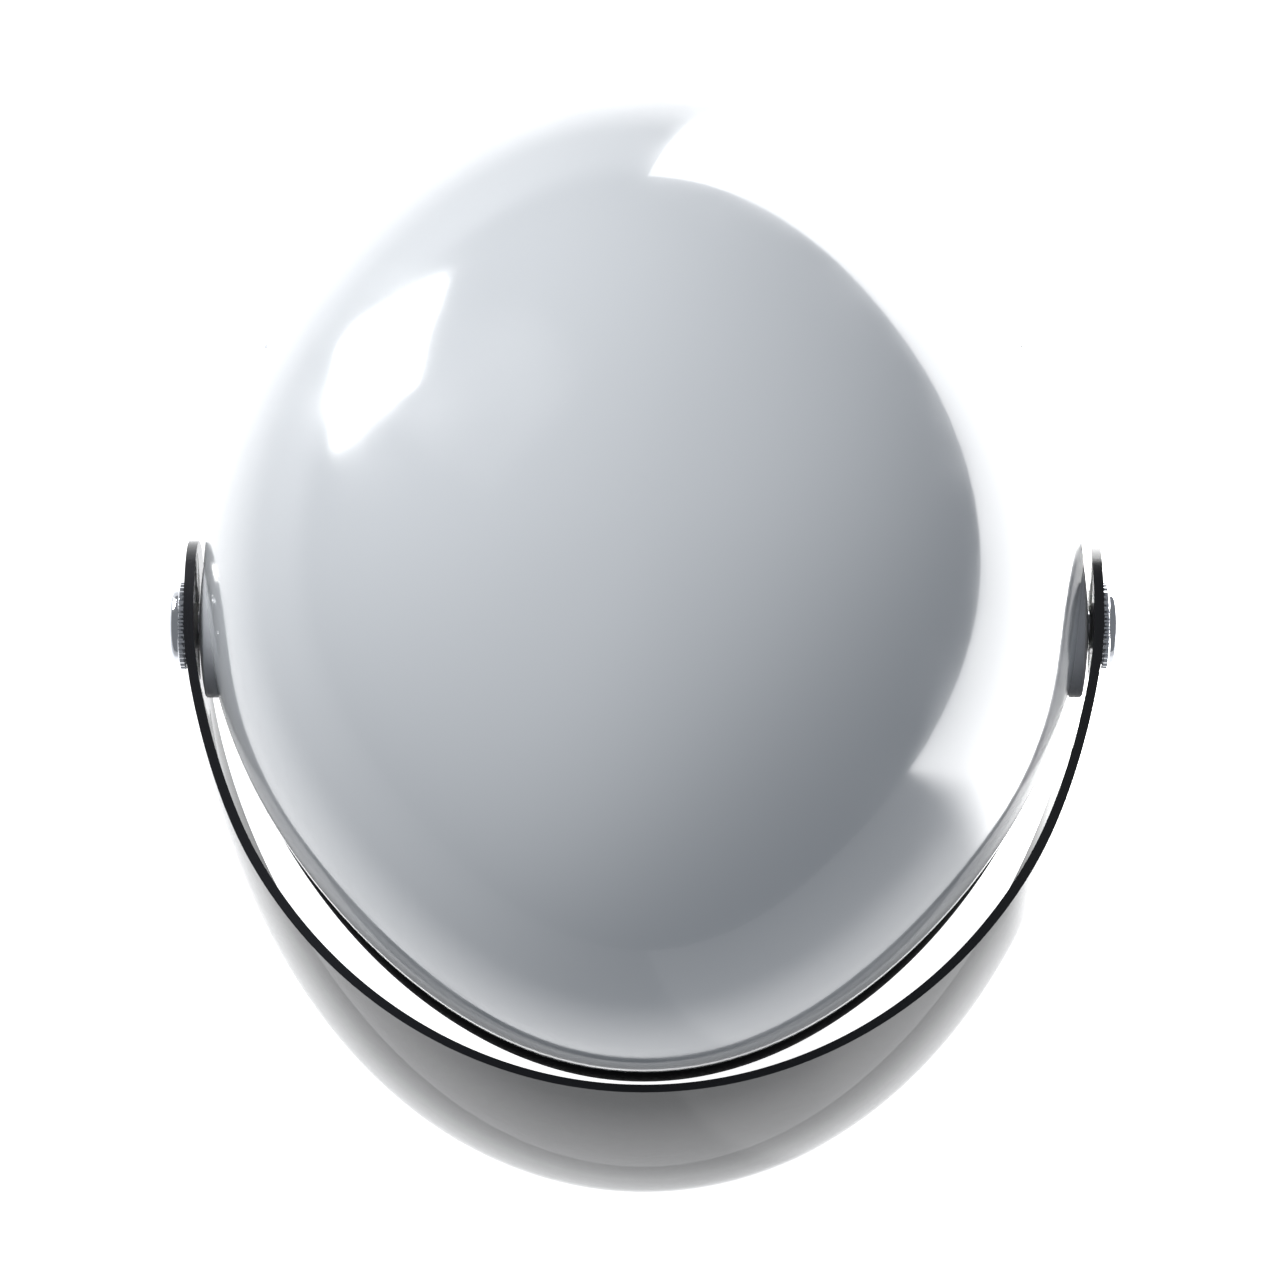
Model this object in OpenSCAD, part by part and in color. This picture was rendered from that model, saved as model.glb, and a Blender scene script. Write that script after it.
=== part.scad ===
// Hard hat with a hinged smoked visor, in millimetres.
// +Z is up, the brow faces -Y, and the wearer's left is +X.
// The origin is the middle of the headband's opening, on its lower plane.

/* [Shell] */
// Shell width over the side walls
shell_w = 231.4; // [205:0.1:280]
// Shell length from brow to back
shell_l = 257.8; // [215:0.1:310]
// Crown height above the headband's lower edge
crown_h = 127; // [115:0.5:153]
// Shell wall thickness
wall = 2.8; // [2.2:0.1:3.6]
// Height at which the dome becomes the side wall
dome_base = 15; // [10:0.5:20]
// Rim height half-way between brow and nape, below the origin
rim_mid = 17; // [13:0.5:22]
// How much lower the nape's rim is than that, and how much higher the brow's
rim_drop = 7; // [2:0.5:10]
// Thickness of the rim trim outside the wall
trim_t = 1.4; // [1:0.1:2]
// How far the brow seal stands out at the middle
seal_out = 2.6; // [1.5:0.1:3]

/* [Visor] */
// Visor sheet thickness
visor_t = 2.6; // [2:0.1:3.2]
// Distance from the hinge axis to the top edge at the brow
visor_reach = 122.5; // [118:0.5:150]
// Radius of the sheet's vertical curve
visor_r = 121.5; // [100:0.5:160]
// Height of the sheet's top edge
visor_top = 20; // [12:0.5:26]
// Height of the sheet's lower edge, below the origin
visor_low = 90; // [70:1:108]
// Hinge axis ahead of the shell's middle
pivot_fwd = 11.5; // [5:0.5:18]
// Hinge axis height
pivot_z = 18; // [14:0.5:24]
// Radius of the visor's ears
ear_r = 22.3; // [20:0.1:26]
// Radius of the pivot pads
pad_r = 19.75; // [16:0.25:20]
// Thumbscrew head radius
knob_r = 11.4; // [9:0.1:13]
// Thumbscrew head thickness
knob_t = 4.5; // [3:0.1:6]

/* [Harness] */
// Headband opening half-width
band_r = 76; // [66:0.5:80]
// Headband opening from its widest point to the brow
band_front = 126; // [110:0.5:130]
// Headband height
band_h = 30; // [26:0.5:34]
// Headband thickness
band_t = 2.2; // [1.6:0.1:3]
// Downward tilt of the nape half of the band
nape_tilt = 24; // [16:0.5:28]
// Webbing width
web_w = 18; // [14:0.5:22]
// Webbing thickness
web_t = 1.4; // [1:0.1:2]
// Height of the crown straps' crossing
web_top = 92; // [84:0.5:96]
// Ratchet knob radius
ratchet_r = 17; // [14:0.5:19]
// Lowest point of the chin strap, below the origin
chin_low = 128; // [115:1:140]

/* [Hidden] */
gap = 0.3;                          // clearance between curved faces of moving bodies
flat_gap = 0.1;                     // clearance between flat faces of moving bodies
half_w = shell_w / 2;
skew_l = 0.6;                       // the back of the shell is this much longer than the front
sq_front = 0.036;                   // how far the outline is pulled in on the diagonals
sq_back = 0.024;
swell = 0.01;                       // fullness of the dome's shoulder
tuck = 0.46;                        // how fast the side wall closes in below the dome
dome_h = crown_h - dome_base;
bead_h = 9;                         // height of the rim trim
N = 64;                             // points round the shell
pivot_y = -pivot_fwd;
pad_x = half_w + 0.8;               // outer face of the pivot pad
ear_in = pad_x + flat_gap;
visor_a = ear_in + visor_t;         // outer half-width of the visor
bush_r = 6;
bush_flange_t = 0.5;
washer_t = 0.5;
knob_x = visor_a + bush_flange_t + flat_gap;
stud_r = 2.5;
shoulder_r = 3.9;
run_fit = 0.05;
yc = 26;                            // centre of the headband's back arc
zc = band_h / 2;
rack_mid_l = band_r + band_t + 1.2;
rack_mid_r = rack_mid_l + 1.9;
tail_t = 1.6;
pinion_r = 6.25;
chan_out = rack_mid_r + tail_t / 2 + gap;
cover_t = 2.2;

$fn = 48;

// ---------- Lofting: rings of points joined into one closed skin ----------
function quad(a, b, i, n) = [a * n + i, a * n + (i + 1) % n, b * n + (i + 1) % n, b * n + i];
function total(v, k = 0) = k >= len(v) ? 0 : v[k] + total(v, k + 1);
function turned(f) = [for (q = f) [for (i = [len(q) - 1 : -1 : 0]) q[i]]];
module loft(rings, closed = false) {
    m = len(rings);
    n = len(rings[0]);
    side = [for (a = [0 : m - (closed ? 1 : 2)]) for (i = [0 : n - 1])
            quad(a, (a + 1) % m, i, n)];
    caps = closed ? [] : [[for (i = [n - 1 : -1 : 0]) i], [for (i = [0 : n - 1]) (m - 1) * n + i]];
    pts = [for (r = rings) each r];
    faces = concat(side, caps);
    // Faces run clockwise seen from outside, so a positive volume means they must be turned over.
    vol = total([for (q = faces) total([for (i = [1 : len(q) - 2])
                 pts[q[0]] * cross(pts[q[i]], pts[q[i + 1]])])]);
    polyhedron(points = pts, faces = vol > 0 ? turned(faces) : faces, convexity = 10);
}
function unit(v) = v / norm(v);
function lerp(a, b, k) = a + (b - a) * k;
function clamp01(k) = max(0, min(1, k));
function smooth(k) = let (c = clamp01(k)) c * c * (3 - 2 * c);

// A flat strap of width w along points p, with its width along directions d.
module ribbon(p, d, w, t) {
    m = len(p);
    loft([for (i = [0 : m - 1])
          let (along = unit(p[min(i + 1, m - 1)] - p[max(i - 1, 0)]),
               across = unit(d[i] - along * (d[i] * along)),
               out = cross(along, across))
          [p[i] - across * w / 2 - out * t / 2, p[i] + across * w / 2 - out * t / 2,
           p[i] + across * w / 2 + out * t / 2, p[i] - across * w / 2 + out * t / 2]]);
}
module mirrored(side) { mirror([side < 0 ? 1 : 0, 0, 0]) children(); }

// ---------- Shell surface ----------
function plan(t, ins) =
    let (m = 1 - (sin(t) < 0 ? sq_front : sq_back) * pow(sin(2 * t), 2),
         b = shell_l / 2 + (sin(t) < 0 ? -skew_l : skew_l))
    [m * (half_w - ins) * cos(t), m * (b - ins) * sin(t)];
function dome(t, u, ins) =
    let (q = 1 + swell * pow(sin(2 * u), 2), p = plan(t, ins))
    [p.x * cos(u) * q, p.y * cos(u) * q, dome_base + (dome_h - ins) * sin(u) * q];
function side_wall(t, z, ins) =
    let (p = plan(t, ins), r = 1 - tuck * pow((dome_base - z) / dome_h, 2)) [p.x * r, p.y * r, z];
function rim_z(t) = -rim_mid - rim_drop * sin(t);
function wall_levels(t) =
    let (z = rim_z(t), b = z + bead_h) [z, b, lerp(b, dome_base, 0.5)];
dome_steps = [0, 7, 14, 21.5, 30, 39, 48, 57, 66, 75, 84];
function skin(ins) = [
    for (k = [0 : 2]) [for (i = [0 : N - 1]) let (t = i * 360 / N) side_wall(t, wall_levels(t)[k], ins)],
    for (u = dome_steps) [for (i = [0 : N - 1]) dome(i * 360 / N, u, ins)]];
function reversed(v) = [for (i = [len(v) - 1 : -1 : 0]) v[i]];

key_angles = [-50, 25];             // where the sockets sit on the wall, brow and side
socket_h = 12;
key_top = band_h + 3.5;
slot_l = 12.4;
slot_w = 2.4;
block_in = 6;
function socket_at(k) = dome(key_angles[k], 6, wall);
function key_dir(k) = unit(band_point(k) - [socket_at(k).x, socket_at(k).y, band_point(k).z]);
module at_socket(k) {
    p = socket_at(k);
    d = key_dir(k);
    translate([p.x, p.y, band_h - socket_h]) rotate([0, 0, atan2(d.y, d.x)]) children();
}
module socket_block(k)
    at_socket(k) difference() {
        translate([-1.2, -9, 0]) cube([block_in + 1.2, 18, socket_h]);
        translate([2.2, -slot_l / 2, -1]) cube([slot_w, slot_l, socket_h + 2]);
    }
module shell()
    color([0.9, 0.91, 0.93]) difference() {
        union() {
            loft(concat(reversed(skin(wall)), skin(0)));
            for (s = [1, -1]) mirrored(s) for (k = [0, 1]) socket_block(k);
        }
        for (s = [1, -1]) mirrored(s) translate([half_w - 12, pivot_y, pivot_z])
            rotate([0, 90, 0]) cylinder(r = 4, h = 24);
    }
module rim_trim() {
    slack = 0.05;
    color([0.06, 0.06, 0.07]) loft([for (i = [0 : N - 1]) let (t = i * 360 / N, z = wall_levels(t))
        [side_wall(t, z[1], -trim_t), side_wall(t, z[1], -slack), side_wall(t, z[0], -slack) - [0, 0, slack],
         side_wall(t, z[0], wall + slack) - [0, 0, slack], side_wall(t, z[1], wall + slack),
         side_wall(t, z[1], wall + trim_t), side_wall(t, z[0], wall + trim_t) - [0, 0, trim_t],
         side_wall(t, z[0], -trim_t) - [0, 0, trim_t]]], true);
}
module brow_seal() {
    slack = 0.05;
    first = 200;
    steps = 28;
    color([0.05, 0.05, 0.06]) loft([for (i = [0 : steps])
        let (t = first + (340 - first) * i / steps, b = rim_z(t) + bead_h + 0.2,
             o = lerp(0.7, seal_out, smooth(sin((t - first) / (340 - first) * 180) * 1.3)))
        [side_wall(t, b, -slack), side_wall(t, b + 5.5, -slack),
         side_wall(t, b + 4, -o * 0.7), side_wall(t, b + 1.6, -o), side_wall(t, b, -o * 0.8)]]);
}

// ---------- Visor ----------
zm = -50;                           // height of the sheet's furthest point at the brow
zm_side = 42;                       // how much higher that is at the sides
bulge = visor_r - sqrt(visor_r * visor_r - pow(visor_top - zm, 2));
ear_turn = 36.7;                    // where the lower edge leaves the ear
edge_y = pivot_y + ear_r * sin(ear_turn);
edge_z = pivot_z - ear_r * cos(ear_turn);
edge_run = edge_y - (pivot_y - visor_reach - bulge);
function visor_lower(y) = y > edge_y ? pivot_z - sqrt(max(0, ear_r * ear_r - pow(y - pivot_y, 2)))
    : -visor_low + (edge_z + visor_low) * pow(1 - clamp01((edge_y - y) / edge_run), 1.27);
function visor_upper(y) = y > pivot_y ? pivot_z + sqrt(max(0, ear_r * ear_r - pow(y - pivot_y, 2)))
    : lerp(visor_top, pivot_z + ear_r, smooth((y - pivot_y + 62) / 62));
function sheet(a, z, ins) =
    let (zt = max(z, zm), zs = zm + zm_side * pow(cos(a), 2),
         reach = visor_reach - ins + sqrt(visor_r * visor_r - pow(zt - zm, 2))
                 - sqrt(visor_r * visor_r - pow(visor_top - zm, 2)),
         d = z >= zs ? 0 : visor_r - sqrt(visor_r * visor_r - pow(z - zs, 2)),
         n = unit([cos(a) / (visor_a - ins), -sin(a) / reach]))
    [(visor_a - ins) * cos(a) - n.x * d, pivot_y - reach * sin(a) - n.y * d, z];
// Two or three passes settle the lower edge, whose height depends on where the sheet lies.
function low_y(a, y, k) = k == 0 ? y : low_y(a, sheet(a, visor_lower(y), 0).y, k - 1);
visor_rows = 10;
function sheet_ring(a) =
    let (top = visor_upper(sheet(a, visor_top, 0).y),
         low = visor_lower(low_y(a, pivot_y - visor_reach * sin(a), 6)))
    [for (k = [0 : visor_rows]) sheet(a, lerp(top, low, k / visor_rows), 0),
     for (k = [visor_rows : -1 : 0]) sheet(a, lerp(top, low, k / visor_rows), visor_t)];
function ear_ring(side, b) =
    let (y = pivot_y + ear_r * sin(b))
    [for (k = [0 : visor_rows]) [side * visor_a, y, lerp(visor_upper(y), visor_lower(y), k / visor_rows)],
     for (k = [visor_rows : -1 : 0]) [side * ear_in, y, lerp(visor_upper(y), visor_lower(y), k / visor_rows)]];
ear_steps = [86, 78, 68, 56, 46, 36.7, 24, 12];
module visor()
    color([0.25, 0.26, 0.29, 0.5]) difference() {
        loft(concat([for (b = ear_steps) ear_ring(1, b)],
                    [for (a = [0 : 4.5 : 180]) sheet_ring(a)],
                    [for (b = reversed(ear_steps)) ear_ring(-1, b)]));
        for (s = [1, -1]) mirrored(s) at_pivot(ear_in - 5) cylinder(r = bush_r + 0.03, h = visor_t + 10);
    }

// ---------- Pivot stack, drawn on the left side ----------
module at_pivot(x) { translate([x, pivot_y, pivot_z]) rotate([0, 90, 0]) children(); }
module bush(s)
    color([0.93, 0.93, 0.9]) mirrored(s) at_pivot(ear_in) difference() {
        union() {
            cylinder(r = bush_r, h = visor_t);
            translate([0, 0, visor_t]) cylinder(r = 10.2, h = bush_flange_t);
        }
        translate([0, 0, -1]) cylinder(r = shoulder_r + run_fit * 2, h = visor_t + bush_flange_t + 2);
    }
// The ear curves towards the brow, so the pad's face falls away from the axis by a little more than that.
function pad_fall(r) = r * r / (2 * visor_reach * visor_reach / visor_a) * 1.15;
module pivot_pad(s)
    color([0.72, 0.73, 0.75]) mirrored(s) difference() {
        at_pivot(0) rotate_extrude() polygon([[0, half_w - 6], [pad_r, half_w - 6], [pad_r, pad_x - pad_fall(pad_r)],
            for (k = [0.85, 0.7, 0.5, 0.3]) [pad_r * k, pad_x - pad_fall(pad_r * k)], [0, pad_x]]);
        loft(skin(-0.02));
        at_pivot(half_w - 7) cylinder(r = 4, h = 12);
    }
insert_in = half_w - wall - 2.7;    // inner wall clears the insert's flange here
module insert(s)
    color([0.6, 0.6, 0.62]) mirrored(s) at_pivot(insert_in - 1.6) difference() {
        union() {
            cylinder(r = 8, h = 1.6);
            cylinder(r = 4, h = pad_x - insert_in + 1.6);
        }
        translate([0, 0, -1]) cylinder(r = stud_r + run_fit, h = 20);
    }
module thumbscrew(s)
    color([0.8, 0.8, 0.82]) mirrored(s) at_pivot(0) difference() {
        rotate_extrude() polygon([
            [0, insert_in - 4], [stud_r - 0.6, insert_in - 4], [stud_r, insert_in - 3.4],
            [stud_r, pad_x + flat_gap], [shoulder_r, pad_x + flat_gap], [shoulder_r, knob_x + washer_t],
            [7.7, knob_x + washer_t], [7.7, knob_x], [knob_r, knob_x], [knob_r, knob_x + knob_t * 0.55], [knob_r - 0.8, knob_x + knob_t * 0.8],
            [knob_r - 2.6, knob_x + knob_t * 0.95], [0, knob_x + knob_t]]);
        for (i = [0 : 23]) rotate([0, 0, i * 15]) translate([knob_r + 0.3, 0, knob_x - 1])
            cylinder(r = 0.8, h = 2.8);
    }
module spring_washer(s)
    color([0.5, 0.5, 0.52]) mirrored(s) at_pivot(knob_x) difference() {
        cylinder(r = 7.5, h = washer_t);
        translate([0, 0, -1]) cylinder(r = shoulder_r + 0.02, h = 3);
    }

// ---------- Headband: the nape half is tilted down about its widest point ----------
module nape() { translate([0, yc, zc]) rotate([-nape_tilt, 0, 0]) translate([0, 0, -zc]) children(); }
function nape_point(r, phi, z) =
    let (y = r * sin(phi), w = z - zc)
    [r * cos(phi), yc + y * cos(nape_tilt) + w * sin(nape_tilt), zc - y * sin(nape_tilt) + w * cos(nape_tilt)];
module arc_box(r1, r2, z1, z2, p1, p2)
    rotate([0, 0, p1]) rotate_extrude(angle = p2 - p1) translate([r1, z1]) square([r2 - r1, z2 - z1]);
function band_front_point(a, out, z) =
    let (tilt = nape_tilt * clamp01(1 - a / 22), w = z - zc)
    [(band_r + out) * cos(a), yc - (band_front + out) * sin(a) + w * sin(tilt), zc + w * cos(tilt)];
band_end = 42;                      // the band's ends, from its widest points towards the nape
function band_ring_front(a, o1, o2, z1, z2) =
    [band_front_point(a, o1, z1), band_front_point(a, o2, z1), band_front_point(a, o2, z2), band_front_point(a, o1, z2)];
function band_ring_nape(p, s, o1, o2, z1, z2) =
    [for (q = [[o1, z1], [o2, z1], [o2, z2], [o1, z2]])
     let (v = nape_point(band_r + q[0], p, q[1])) [s * v.x, v.y, v.z]];
function flip_front(r) = [for (v = r) [-v.x, v.y, v.z]];
function band_point(k) = k == 0 ? band_front_point(52, band_t / 2, band_h) : nape_point(band_r + band_t / 2, 12, band_h);
sleeve_1 = 30;
sleeve_2 = 46;
module sleeve(side) {
    r1 = (side > 0 ? rack_mid_l : rack_mid_r) - tail_t / 2 - gap;
    r2 = (side > 0 ? rack_mid_l : rack_mid_r) + tail_t / 2 + gap;
    mirrored(side) nape() difference() {
        arc_box(band_r + 0.6, r2 + 1.4, 1, band_h - 1, sleeve_1, sleeve_2);
        arc_box(r1, r2, 3.7, band_h - 3.7, sleeve_1 - 2, sleeve_2 + 2);
    }
}
module headband()
    color([0.16, 0.17, 0.19]) union() {
        loft(concat(
            [for (p = [band_end : -6 : 6]) band_ring_nape(p, 1, 0, band_t, 0, band_h)],
            [for (a = [0 : 6 : 90]) band_ring_front(a, 0, band_t, 0, band_h)],
            [for (a = [84 : -6 : 0]) flip_front(band_ring_front(a, 0, band_t, 0, band_h))],
            [for (p = [6 : 6 : band_end]) band_ring_nape(p, -1, 0, band_t, 0, band_h)]));
        sleeve(1);
        sleeve(-1);
    }
module sweatband()
    color([0.25, 0.25, 0.27]) loft(concat(
        [for (a = [24 : 6 : 90]) band_ring_front(a, -3.4, -0.05, 0.5, band_h - 0.5)],
        [for (a = [84 : -6 : 24]) flip_front(band_ring_front(a, -3.4, -0.05, 0.5, band_h - 0.5))]));

// ---------- Nape ratchet ----------
rack_pitch = PI * pinion_r * 2 / 10;
tooth_w = 1.3;
slot_half = 14.8;
module tail(side) {
    r = side > 0 ? rack_mid_l : rack_mid_r;
    step = rack_pitch / r * 180 / PI;
    half_tooth = tooth_w / r * 90 / PI;
    tip = side > 0 ? 1 - pinion_r : pinion_r - 1;
    root = side > 0 ? -7.7 : 7.7;
    color([0.2, 0.21, 0.23]) mirrored(side) nape() difference() {
        arc_box(r - tail_t / 2, r + tail_t / 2, 4, band_h - 4, 26, 108.5);
        arc_box(r - 3, r + 3, zc + min(tip, -root), zc + max(tip, -root), 90 - slot_half, 90 + slot_half);
        // The gaps between the teeth; the outer two stop just short of the slot's ends.
        for (i = [-4 : 4]) arc_box(r - 3, r + 3, zc + min(root, tip) - (side > 0 ? 0 : 0.1),
            zc + max(root, tip) + (side > 0 ? 0.1 : 0),
            i == -4 ? 90.5 - slot_half : 90 + (i - 0.5) * step + half_tooth,
            i == 4 ? 89.5 + slot_half : 90 + (i + 0.5) * step - half_tooth);
    }
}
cover_half = 27;
module ratchet_front_cover()
    color([0.13, 0.13, 0.15]) nape() difference() {
        arc_box(band_r - 0.6, rack_mid_l - tail_t / 2 - gap, -2, band_h + 2, 90 - cover_half, 90 + cover_half);
        for (s = [1, -1], z = [0.9, band_h - 0.9]) rotate([0, 0, 90 + s * (cover_half - 4)])
            translate([band_r - 3, 0, z]) rotate([0, 90, 0]) cylinder(r = 0.9, h = 10);
    }
module ratchet_back_cover()
    color([0.13, 0.13, 0.15]) nape() difference() {
        arc_box(rack_mid_l - tail_t / 2 - gap + 0.02, chan_out + cover_t, -2, band_h + 2, 90 - cover_half, 90 + cover_half);
        arc_box(rack_mid_l - 3, chan_out, 3.7, band_h - 3.7, 90 - cover_half - 3, 90 + cover_half + 3);
        rotate([0, 0, 90]) translate([rack_mid_l, 0, zc]) rotate([0, 90, 0]) cylinder(r = 7.9, h = 12);
        for (s = [1, -1], z = [0.9, band_h - 0.9]) rotate([0, 0, 90 + s * (cover_half - 4)])
            translate([band_r - 3, 0, z]) rotate([0, 90, 0]) cylinder(r = 0.9, h = 8.4);
    }
module cover_screws()
    color([0.6, 0.6, 0.62]) nape() for (s = [1, -1], z = [0.9, band_h - 0.9])
        rotate([0, 0, 90 + s * (cover_half - 4)]) translate([band_r - 0.4, 0, z]) rotate([0, 90, 0])
            cylinder(r = 0.88, h = 5.6);
module at_ratchet(r) { nape() rotate([0, 0, 90]) translate([r, 0, zc]) rotate([0, 90, 0]) children(); }
knob_in = chan_out + cover_t + 0.4;
spring_t = 0.8;
module ratchet_knob()
    color([0.1, 0.1, 0.12]) at_ratchet(0) difference() {
        union() {
            rotate_extrude() polygon([[0, knob_in + 1.6], [14, knob_in + 1.6], [14, knob_in], [ratchet_r, knob_in],
                [ratchet_r, knob_in + 6.4], [ratchet_r - 1.2, knob_in + 7.8], [12, knob_in + 8.4], [0, knob_in + 7.6]]);
        }
        for (i = [0 : 17]) rotate([0, 0, i * 20]) translate([ratchet_r + 1, 0, knob_in - 1])
            cylinder(r = 1.9, h = 12);
    }
module gear_tooth(i)
    rotate([0, 0, i * 36]) polygon([[4.6, -0.95], [pinion_r + 1.05, -0.45], [pinion_r + 1.05, 0.45], [4.6, 0.95]]);
module pinion() {
    pin_in = rack_mid_l - tail_t / 2;
    color([0.75, 0.75, 0.72]) at_ratchet(pin_in) {
        linear_extrude(rack_mid_r + tail_t / 2 - pin_in) union() { circle(r = 5); for (i = [0 : 9]) gear_tooth(i); }
        cylinder(r = 5, h = knob_in + 1.6 - pin_in);
    }
}
module detent_spring()
    color([0.7, 0.7, 0.7]) at_ratchet(knob_in + 0.4) difference() {
        union() {
            cylinder(r = 8.5, h = spring_t);
            for (a = [0, 180]) rotate([0, 0, a]) translate([0, -2, 0]) cube([13.2, 4, spring_t]);
        }
        translate([0, 0, -1]) cylinder(r = 5, h = 4);
    }
module nape_pad()
    color([0.2, 0.2, 0.22]) nape()
        arc_box(band_r - 4.6, band_r - 0.65, -3, band_h + 3, 90 - cover_half + 2, 90 + cover_half - 2);

// ---------- Suspension ----------
module harness_keys()
    color([0.14, 0.15, 0.17]) for (s = [1, -1]) mirrored(s) for (k = [0, 1]) {
        p = band_point(k);
        d = key_dir(k);
        q = socket_at(k);
        hull() {
            translate(p) rotate([k == 1 ? -nape_tilt : 0, 0, 0]) rotate([0, 0, atan2(d.y, d.x)])
                translate([-3, -7, 0.05]) cube([5, 14, 3]);
            translate([q.x, q.y, band_h + 0.02]) rotate([0, 0, atan2(d.y, d.x)])
                translate([block_in + 0.3, -6.8, 0.1]) cube([0.9, 13.6, 3.1]);
        }
        translate([q.x, q.y, band_h + 0.02]) rotate([0, 0, atan2(d.y, d.x)])
            translate([2.3, -6.2, 0]) cube([block_in - 0.9, 12.4, 3.4]);
        at_socket(k) translate([2.4, -6, 2]) cube([2, 12, socket_h]);
    }
web_base = band_h + 3.2;
cross_y = let (p = band_point(0), q = band_point(1)) lerp(p.y, q.y, p.x / (p.x + q.x));
function strap_path(s, lift) =
    let (p = band_point(0), q = band_point(1), o = [0, cross_y])
    [for (i = [0 : 12]) let (a = i * 7.5, e = [s * (p.x - 1.5), p.y + 1.5])
         [e.x * cos(a), o.y + (e.y - o.y) * cos(a), lerp(p.z + 4, web_top + lift, sin(a))],
     for (i = [11 : -1 : 0]) let (a = i * 7.5, e = [-s * (q.x - 4.8), q.y - 1.2])
         [e.x * cos(a), o.y + (e.y - o.y) * cos(a), lerp(q.z + 5.8, web_top + lift, sin(a))]];
module crown_strap(s, lift) {
    p = strap_path(s, lift);
    run = unit([p[0].x, p[0].y, 0] - [p[len(p) - 1].x, p[len(p) - 1].y, 0]);
    across = [-run.y, run.x, 0];
    color([0.2, 0.21, 0.24]) difference() {
        ribbon(p, [for (i = p) across], web_w, web_t);
        translate([0, cross_y, web_top - 10]) cylinder(r = 2, h = 20);
    }
}
pad_ball = 78;
module crown_pad()
    color([0.22, 0.22, 0.25]) translate([0, cross_y, web_top - web_t / 2 - 0.4 - pad_ball]) difference() {
        rotate_extrude() intersection() {
            difference() { circle(r = pad_ball); circle(r = pad_ball - 4.5); }
            translate([0, pad_ball - 12]) square([26, 20]);
        }
        cylinder(r = 2, h = pad_ball + 10);
    }
module crown_rivet()
    color([0.6, 0.6, 0.62]) translate([0, cross_y, 0]) {
        translate([0, 0, web_top - 5.5]) cylinder(r = 1.98, h = 9.7);
        translate([0, 0, web_top + 3.45 + web_t / 2]) cylinder(r = 4.5, h = 1.2);
    }

// ---------- Chin strap ----------
fork = [70, -5, -70];
chin_a = [24, -33, -(chin_low - 6)];
chin_m = [0, -36, -chin_low];
run_d = unit(chin_a - (fork - [0, 0, 8]));
run_w = unit([0, 1, 0] - run_d * run_d.y);
run_n = cross(run_w, run_d);
run_l = norm(chin_a - (fork - [0, 0, 8]));
module along_run(s) {
    o = fork - [0, 0, 8] + run_d * s;
    multmatrix([[run_w.x, run_n.x, run_d.x, o.x], [run_w.y, run_n.y, run_d.y, o.y],
                [run_w.z, run_n.z, run_d.z, o.z], [0, 0, 0, 1]]) children();
}
module yoke(s)
    color([0.17, 0.18, 0.2]) mirrored(s) {
        p = lerp(band_point(0), socket_at(0), 0.5);
        q = lerp(band_point(1), socket_at(1), 0.5);
        a = [p.x, p.y, p.z - 3.2];
        b = [q.x, q.y, q.z - 4.5];
        ribbon([a, lerp(a, fork + [0, -6, 3], 0.5), fork + [0, -6, 3]], [[0, 1, 0], [0, 1, 0], [0, 1, 0]], 13, web_t);
        ribbon([b, lerp(b, fork + [0, 9, 3], 0.5), fork + [0, 9, 3]], [[0, 1, 0], [0, 1, 0], [0, 1, 0]], 13, web_t);
    }
module divider(s)
    color([0.1, 0.1, 0.12]) mirrored(s) translate(fork + [3.1, 1, 2.5]) hull()
        for (y = [-12, 12], z = [-7, 7]) translate([0, y, z]) rotate([0, 90, 0]) cylinder(r = 4, h = 2.5, $fn = 24);
plug_1 = 33;
plug_travel = 14;
web_behind = 3;                     // the strap passes behind the plug's prongs
function run_at(s) = fork - [0, 0, 8] + run_d * s;
module chin_web(from, behind = 0)
    color([0.17, 0.18, 0.2])
        ribbon([run_at(from) - run_n * behind, run_at(run_l * 0.75) - run_n * behind,
                run_at(run_l) - run_n * behind, [17, -35.4, -chin_low + 1.4],
                [12, -36, -chin_low], [0.3, -36, -chin_low]],
               [run_w, run_w, run_w, [0, 1, 0], [0, 1, 0], [0, 1, 0]], 15, web_t);
module chin_web_left() {
    chin_web(plug_1 + 4, web_behind);
    color([0.17, 0.18, 0.2]) ribbon([run_at(-1), run_at(6)], [run_w, run_w], 15, web_t);
}
module chin_web_right() { mirror([1, 0, 0]) chin_web(-1); }
module buckle_socket()
    color([0.08, 0.08, 0.09]) along_run(0) difference() {
        translate([-12, -4.5, 5]) cube([24, 9, 27]);
        translate([-10, -2.6, 14]) cube([20, 5.2, 20]);
        translate([-8, -web_t / 2 - 0.1, 3]) cube([16, web_t + 0.2, 6]);
        for (s = [1, -1]) translate([s * 11, 0, 21]) cube([4, 5.2, 8], center = true);
    }
module buckle_plug()
    color([0.1, 0.1, 0.11]) along_run(plug_1) {
        difference() {
            translate([-12, -web_behind - 2.5, 0]) cube([24, web_behind + 6.5, 12]);
            translate([-8, -web_behind - web_t / 2 - 0.4, -1]) cube([16, web_t + 0.8, 20]);
        }
        for (s = [1, -1]) translate([s * 6.5 - 2.2, -2, -16]) cube([4.4, 4, 16.5]);
    }
module chin_pad()
    color([0.2, 0.2, 0.22]) translate([0, -36, -chin_low + web_t / 2 + 0.7]) hull()
        for (x = [-7, 7], y = [-6, 6]) translate([x, y, 0]) cylinder(r = 4, h = 3.6, $fn = 24);

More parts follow.
